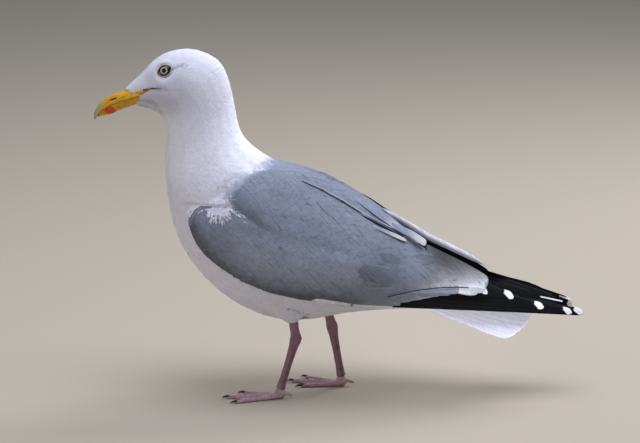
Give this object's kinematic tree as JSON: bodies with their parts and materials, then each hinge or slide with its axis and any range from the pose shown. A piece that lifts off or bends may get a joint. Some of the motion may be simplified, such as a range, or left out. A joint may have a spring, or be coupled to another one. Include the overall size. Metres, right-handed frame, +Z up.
{
  "type": "herring gull figure",
  "caption": "Life-size adult herring gull standing at rest with folded wings, grey back, black wing tips, yellow bill and pink webbed feet.",
  "frame": {"origin": "on the floor under the middle of the bird's bounding box", "axes": "-X is the way the bird faces, -Y is its left side, +Z is up"},
  "size_m": [0.524, 0.1542, 0.376],
  "materials": {
    "white_plumage": "soft white feathers, matte",
    "grey_plumage": "smooth mid-grey feathers with a faint sheen",
    "black_plumage": "black flight feathers with white spots, satin",
    "bill": "smooth yellow horn with a red spot, semi-gloss",
    "eye": "wet and glossy, pale iris around a black pupil",
    "leg": "pinkish scaly skin, semi-matte",
    "claw": "dark horn, satin"
  },
  "bodies": {
    "root": {"head": "white_plumage", "neck": "white_plumage", "trunk": "white_plumage", "tail": "white_plumage", "thigh_left": "white_plumage", "thigh_right": "white_plumage", "wing_left": "grey_plumage", "wing_right": "grey_plumage", "wing_tip_left": "black_plumage", "wing_tip_right": "black_plumage", "bill_upper": "bill", "bill_lower": "bill", "eye_left": "eye", "eye_right": "eye", "shank_left": "leg", "shank_right": "leg", "foot_left": "leg", "foot_right": "leg", "claw_left_inner": "claw", "claw_left_middle": "claw", "claw_left_outer": "claw", "claw_right_inner": "claw", "claw_right_middle": "claw", "claw_right_outer": "claw"}
  },
  "joints": []
}
